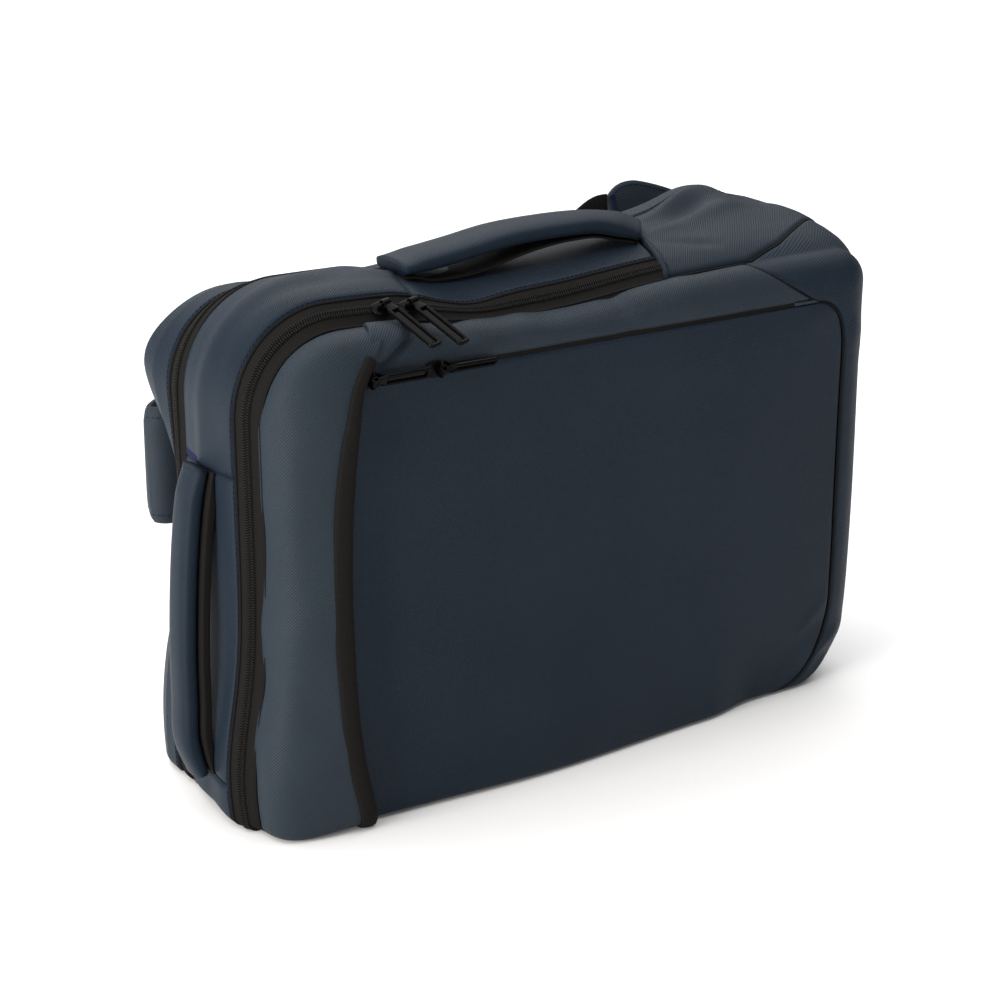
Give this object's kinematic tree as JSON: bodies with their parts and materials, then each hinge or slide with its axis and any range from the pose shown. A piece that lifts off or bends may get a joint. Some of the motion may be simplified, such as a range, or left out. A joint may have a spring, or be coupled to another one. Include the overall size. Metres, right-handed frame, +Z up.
{
  "type": "backpack",
  "caption": "Navy convertible backpack standing on its long edge, with zipped compartments, a zipped front pocket, padded grab handles and padded shoulder straps.",
  "frame": {"origin": "on the flat base that the bag stands on, below the middle of the body", "axes": "+X along the bag's length towards its right end, -Y out of the front, +Z up from the base"},
  "size_m": [0.4775, 0.2106, 0.3264],
  "materials": {
    "coated_twill": "satin coated twill",
    "zip_tape": "woven tape with coil teeth",
    "binding": "matt ribbed fabric",
    "webbing": "woven webbing",
    "black_metal": "gloss black",
    "buckle_plastic": "moulded"
  },
  "bodies": {
    "bag": {"left_front_panel": "coated_twill", "front_pocket_panel": "coated_twill", "upper_front_panel": "coated_twill", "right_front_panel": "coated_twill", "pocket_zip_tape": "zip_tape", "left_panel_binding": "binding", "end_wrap_panel": "coated_twill", "gusset_top": "coated_twill", "gusset_corner": "coated_twill", "gusset_side": "coated_twill", "gusset_bottom": "coated_twill", "main_zip_tape": "zip_tape", "rear_zip_tape": "zip_tape", "back_shell": "coated_twill", "top_handle": "coated_twill", "top_handle_underside": "binding", "side_handle": "coated_twill", "side_handle_underside": "binding", "upper_shoulder_strap": "coated_twill", "upper_strap_webbing": "webbing", "upper_wing_tab": "coated_twill", "upper_strap_buckle": "buckle_plastic", "lower_shoulder_strap": "coated_twill", "lower_strap_webbing": "webbing", "lower_wing_tab": "coated_twill", "lower_strap_buckle": "buckle_plastic", "main_slider_left": "black_metal", "main_slider_right": "black_metal", "pocket_slider_left": "black_metal", "pocket_slider_right": "black_metal", "rear_zip_slider": "black_metal"},
    "main_pull_left": {"main_puller_left": "black_metal"},
    "main_pull_right": {"main_puller_right": "black_metal"},
    "pocket_pull_left": {"pocket_puller_left": "black_metal"},
    "pocket_pull_right": {"pocket_puller_right": "black_metal"}
  },
  "joints": [
    {"name": "main_puller_left_swing", "type": "hinge", "parent": "bag", "child": "main_pull_left", "pos_m": [-0.132, -0.03622, 0.3031], "axis": [-0.9659, -0.2071, -0.1553], "range_deg": [0, 140]},
    {"name": "main_puller_right_swing", "type": "hinge", "parent": "bag", "child": "main_pull_right", "pos_m": [-0.114, -0.03621, 0.30177], "axis": [-0.9659, -0.2072, -0.1551], "range_deg": [0, 140]},
    {"name": "pocket_puller_left_swing", "type": "hinge", "parent": "bag", "child": "pocket_pull_left", "pos_m": [-0.157, -0.0658, 0.2682], "axis": [0, 0, -1], "range_deg": [0, 120]},
    {"name": "pocket_puller_right_swing", "type": "hinge", "parent": "bag", "child": "pocket_pull_right", "pos_m": [-0.113, -0.0658, 0.2682], "axis": [0, 0, -1], "range_deg": [0, 120]}
  ]
}
